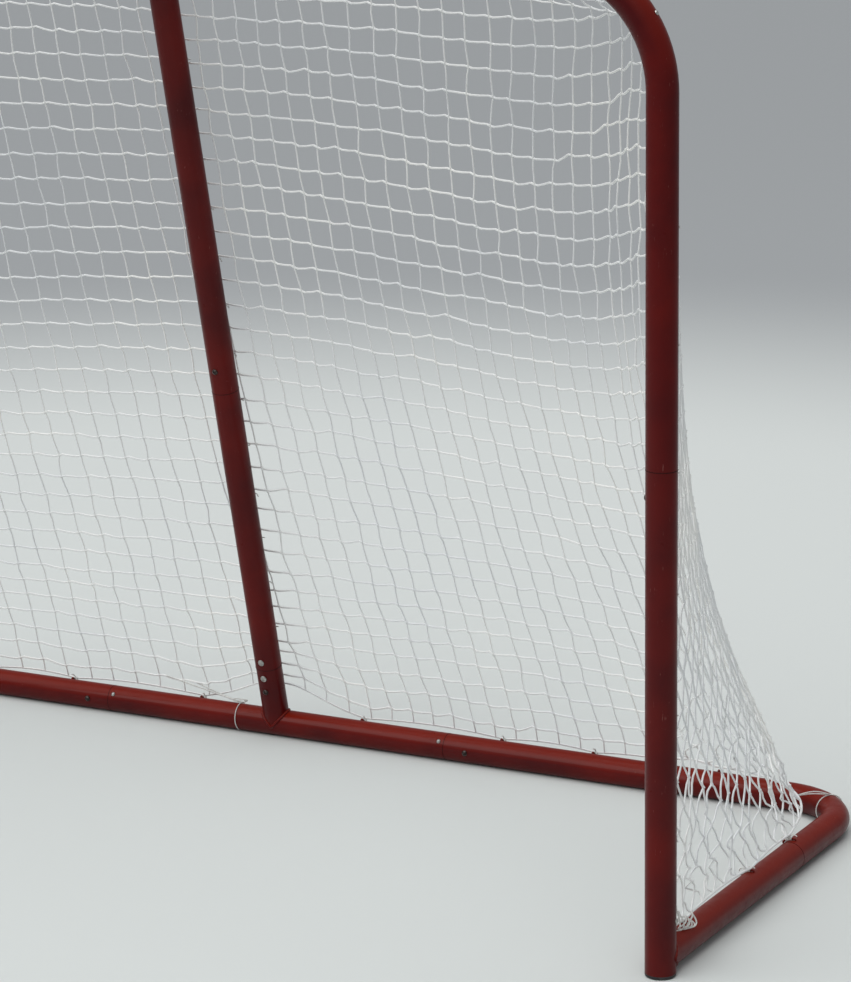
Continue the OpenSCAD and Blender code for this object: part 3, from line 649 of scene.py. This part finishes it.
# fuzz 1 mm across over a braid of four strands wound each way, a ridge of each passing every 4 mm
tie_cord, tree, out = new_material("white_braided_tie_cord")
place = add(tree, "ShaderNodeTexCoord").outputs["Object"]
fuzz = add(tree, "ShaderNodeTexNoise", {"Vector": place, "Scale": 900, "Detail": 5})
tone = add(tree, "ShaderNodeValToRGB", {"Fac": fuzz.outputs["Fac"]})
tone.color_ramp.elements[0].position, tone.color_ramp.elements[0].color = 0.3, linear("#CFD0CC")
tone.color_ramp.elements[1].position, tone.color_ramp.elements[1].color = 0.7, linear("#EFEFEB")
braid = add(tree, "ShaderNodeMath", {0: wound(tree, 4, 0.004), 1: wound(tree, -4, 0.004)},
            operation="MAXIMUM")
weave = add(tree, "ShaderNodeBump", {"Height": braid.outputs["Value"], "Strength": 0.5, "Distance": 0.0003})
fibre = add(tree, "ShaderNodeBsdfPrincipled", {
    "Base Color": tone.outputs["Color"], "Roughness": 0.65, "Normal": weave.outputs["Normal"],
    "Sheen Weight": 0.15, "Specular IOR Level": 0.35})
tree.links.new(fibre.outputs["BSDF"], out.inputs["Surface"])


def turned_about(centre, axis, outward, radius, angles, shift=0.0):
    """Points round a tube's axis; angle 0 is the outward side. shift slides them along the axis."""
    axis, outward = (np.asarray(v, float) / np.linalg.norm(v) for v in (axis, outward))
    third = np.cross(axis, outward)
    count = len(angles)
    return [np.asarray(centre, float) + r * (math.cos(a) * outward + math.sin(a) * third) + s * axis
            for a, r, s in zip(angles, np.broadcast_to(radius, count), np.broadcast_to(shift, count))]


def staple(centre, axis, outward):
    """A wire loop on the hidden side of a tube, its ends turned in to the steel and welded."""
    angles = np.radians(np.linspace(-STAPLE_SPAN / 2, STAPLE_SPAN / 2, 17))
    radius = np.full(17, TIE_R)
    radius[[0, -1]] = TUBE_R + 0.2
    return (turned_about(centre, axis, outward, radius, angles), 1.0, False)


def lashing(centre, axis, outward, rng):
    """Cord wound four times round the middle of a staple, with a knot and two cut ends."""
    turns = np.linspace(0, 8 * math.pi, 45)
    angles = (turns / (8 * math.pi) - 0.5) * 0.42
    radius = np.maximum(TIE_R + 2.4 * np.cos(turns), TUBE_R + 0.9)
    coil = turned_about(centre, axis, outward, radius, angles, 2.6 * np.sin(turns))
    strands = [(coil, 1.0, False)]
    knot_turns = np.linspace(0, 3.6 * math.pi, 20)
    strands.append((turned_about(centre, axis, outward, TIE_R + 3.6 + 0.9 * np.sin(knot_turns * 1.5),
                                 0.085 * np.cos(knot_turns), 1.8 * np.sin(knot_turns)), 1.0, False))
    for way in (-1, 1):
        reach = np.linspace(0, 1, 6)
        curl = rng.normal(0, 2.5, 2)
        end = turned_about(centre, axis, outward, TIE_R + 4 + 1.5 * np.sin(3 * reach),
                           way * 0.09 + way * reach * 0.42, reach * curl[0] + reach ** 2 * curl[1])
        strands.append((end, 0.9, False))
    return strands


def side_axis_z(y):
    """Height of the side tube's axis, which falls a little from the post to the rear."""
    return SIDE_Z - y / BASE_DEPTH * (SIDE_Z - RAIL_Z)


# the side tube's axis falls to the rear
SIDE_WAY = (0, 1, -0.0068)
POST_TIE_STEP, LEG_TIE_STEP, BAR_TIE_STEP = 148, 72, 120
leg_way = np.array([0, -math.sin(LEAN), math.cos(LEAN)])
leg_rear = np.array([0, math.cos(LEAN), math.sin(LEAN)])
# each staple's centre on its tube's axis, the way of that axis, and the way out to the wire
places = {
    "rail_ties": [((x, BASE_DEPTH, RAIL_Z), (1, 0, 0), (0, 1, 0.75))
                  for x in sorted([-x for x in RAIL_TIE_X] + RAIL_TIE_X)],
    "support_ties": [((0, BASE_DEPTH, RAIL_Z) + LEG_TIE_STEP * i * leg_way, leg_way, leg_rear)
                     for i in range(2, 15)],
    "crossbar_ties": [((BAR_TIE_STEP * i, 0, BAR_Z), (1, 0, 0), (0, 1, 0)) for i in range(-5, 6) if i]}
for side, name in RIGHT_LEFT:
    places["post_ties_" + name] = [((side * POST_X, 0, POST_TIE_STEP * i + 20), (0, 0, 1), (0, 1, 0))
                                   for i in range(1, 7)]
    places["side_ties_" + name] = [((side * POST_X, y, side_axis_z(y)), SIDE_WAY, (-0.35 * side, 0, 1))
                                   for y in SIDE_TIE_Y]
for name, loops in places.items():
    rng = np.random.default_rng(len(name))
    wires = [staple(*spot) for spot in loops]
    cords = [strand for spot in loops for strand in lashing(*spot, rng)]
    if name == "rail_ties":
        # one cord goes right round the rail beside the support and is knotted on top
        wrap_x, wrap_top = -62, RAIL_Z + TUBE_R + 1.6
        wrap = turned_about((wrap_x, BASE_DEPTH, RAIL_Z), (1, 0, 0), (0, 0, 1), TUBE_R + 1.0,
                            np.radians(np.linspace(-145, 145, 40)), np.linspace(-2, 3, 40))
        cords.append((wrap, 0.7, False))
        # slack of the net's edge cord runs in to the knot from the left
        for start, middle in (((-196, 658, 60), (-124, 658, 46)), ((-158, 662, 58), (-104, 657, 43))):
            a, b = np.array(start, float), np.array(middle, float)
            c = np.array([wrap_x, BASE_DEPTH + 2, wrap_top])
            slack = [(1 - t) ** 2 * a + 2 * t * (1 - t) * b + t * t * c for t in np.linspace(0, 1, 16)]
            cords.append((slack, 1.2, False))
        # the two loops of the knot
        for size, lean in ((15, 0.5), (10, -0.4)):
            bow = [np.array([wrap_x + size * (math.sin(a) * 0.6 - lean * (1 - math.cos(a)) * 0.5),
                             BASE_DEPTH + 3 + 3 * math.sin(a), wrap_top + 2.2 * (1 - math.cos(a))])
                   for a in np.linspace(0, math.tau, 24)]
            cords.append((bow, 0.9, False))
    if name == "support_ties":
        # one closed turn of cord goes round the support's arm
        ring = turned_about((0, 182, BAR_Z), (0, 1, 0), (0, 0, 1), TIE_R, np.linspace(0, math.tau, 41)[:-1])
        cords.append((ring, 1.4, True))
    if name.startswith("side_ties"):
        side = 1 if name.endswith("right") else -1
        # the corner of the net is drawn out to the rear bend by two cords and a wrap
        corner = wall_point(float(bottom_arc[-1]) - 560, NET_BOTTOM)[0] * [side, 1, 1]
        bend = np.array([side * (POST_X - 28), BASE_DEPTH - 28, RAIL_Z])
        tangent = np.array([-side * 0.707, 0.707, 0.0])
        wrap = turned_about(bend, tangent, (0, 0, 1), TUBE_R + 1.0, np.radians(np.linspace(-140, 140, 30)),
                            np.linspace(-2, 2, 30))
        cords.append((wrap, 1.0, False))
        top = bend + np.array([0, 0, TUBE_R + 1.2])
        for lift, aside in ((6, -3), (1, 3)):
            drawn = [corner * (1 - t) + top * t + np.array([0, 0, lift * math.sin(math.pi * t)])
                     + aside * math.sin(math.pi * t) * tangent for t in np.linspace(0, 1, 9)]
            cords.append((drawn, 0.9, False))
        # slack of the net's edge cord is looped up at the foot of the post
        foot = np.array([side * (POST_X + 6), TUBE_R + 30, SIDE_Z + TUBE_R + 1])
        for size, tall, push in ((10, 24, -4), (13, 15, 5), (8, 32, -8), (11, 9, 10), (9, 19, 14)):
            bight = [foot + [side * (push * 0.5 + size * 0.35 * math.sin(a * 2)), push + size * math.sin(a),
                             tall * 0.5 * (1 - math.cos(a)) - 2] for a in np.linspace(0, math.tau, 22)]
            cords.append((bight, 1.1, False))
    wire = lay_cord(name + "_staples", wires, STAPLE_WIRE, 8, red_enamel)
    cord = lay_cord(name + "_cords", cords, TIE_CORD, 7, tie_cord)
    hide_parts(name)


# ---- Weld beads
# A ring of weld joins each side tube to its post, and each stub to the tube that carries it.
# The beads were laid by hand, so they are rippled, and the red enamel covers them.


def weld_bead(origin, branch, main):
    """The line where the tube along branch meets the tube along main, both through origin."""
    branch, main = (np.asarray(v, float) / np.linalg.norm(v) for v in (branch, main))
    one = np.cross(branch, main)
    one /= np.linalg.norm(one)
    two = np.cross(branch, one)
    flat = branch - np.dot(branch, main) * main
    path = []
    for a in np.linspace(0, math.tau, 90)[:-1]:
        rim_point = TUBE_R * (math.cos(a) * one + math.sin(a) * two)
        rest = rim_point - np.dot(rim_point, main) * main
        qa, qb, qc = flat @ flat, 2 * rest @ flat, rest @ rest - TUBE_R ** 2
        step = (-qb + math.sqrt(max(0.0, qb * qb - 4 * qa * qc))) / (2 * qa)
        path.append(origin + rim_point + (step + 0.6) * branch)
    return path


BEAD = 4.2
beads = [weld_bead(np.array([sign * POST_X, 0, SIDE_Z]), SIDE_WAY, (0, 0, 1)) for sign in (1, -1)]
beads.append(weld_bead(np.array([0, BASE_DEPTH, RAIL_Z]), leg_way, (1, 0, 0)))
beads.append(weld_bead(np.array([0, 0, BAR_Z]), (0, 1, 0), (1, 0, 0)))
strands = []
for path in beads:
    # the beads stay clear of the floor
    for point in path:
        point[2] = max(point[2], 2.6)
    strands.append((path, 1 + 0.16 * np.sin(np.arange(len(path)) * 1.9), True))
piece = lay_cord("weld_beads", strands, BEAD, 10, red_enamel)


# ---- Joint lines
# Where two tubes meet end to end the enamel stops short of the edge, and the hairline between them is in
# shade;
# a thin dark ring round the tube is painted there as that shade.

# painted shade in the joints, mottled 2 mm across
joint_shade, tree, out = new_material("painted_shade_in_joint")
place = add(tree, "ShaderNodeTexCoord").outputs["Object"]
shade_mottle = add(tree, "ShaderNodeTexNoise", {"Vector": place, "Scale": 500, "Detail": 4})
tone = add(tree, "ShaderNodeValToRGB", {"Fac": shade_mottle.outputs["Fac"]})
tone.color_ramp.elements[0].color, tone.color_ramp.elements[1].color = linear("#120506"), linear("#3A1614")
rough = add(tree, "ShaderNodeBsdfPrincipled", {"Base Color": tone.outputs["Color"], "Roughness": 0.9,
                                               "Specular IOR Level": 0.1})
tree.links.new(rough.outputs["BSDF"], out.inputs["Surface"])

FOOT_SEAM, LEG_SEAM, ARM_SEAM_Y = 94, 531, 92
POST_SEAM_Z, BAR_SEAM_X, SIDE_SEAM_Y = 620.5, 279, 409
whole_turn = np.linspace(0, math.tau, 49)[:-1]
joint_places = [((0, BASE_DEPTH, RAIL_Z) + s * leg_way, leg_way, leg_rear) for s in (FOOT_SEAM, LEG_SEAM)]
joint_places.append(((0, ARM_SEAM_Y, BAR_Z), (0, 1, 0), (0, 0, 1)))
for side in (1, -1):
    joint_places += [((side * POST_X, 0, POST_SEAM_Z), (0, 0, 1), (0, 1, 0)),
                     ((side * BAR_SEAM_X, BASE_DEPTH, RAIL_Z), (1, 0, 0), (0, 0, 1)),
                     ((side * BAR_SEAM_X, 0, BAR_Z), (1, 0, 0), (0, 0, 1)),
                     ((side * POST_X, SIDE_SEAM_Y, side_axis_z(SIDE_SEAM_Y)), SIDE_WAY, (0, 0, 1))]
strands = [(turned_about(centre, axis, outward, TUBE_R - 0.25, whole_turn), 1.0, True)
           for centre, axis, outward in joint_places]
piece = lay_cord("joint_lines", strands, 1.1, 6, joint_shade)
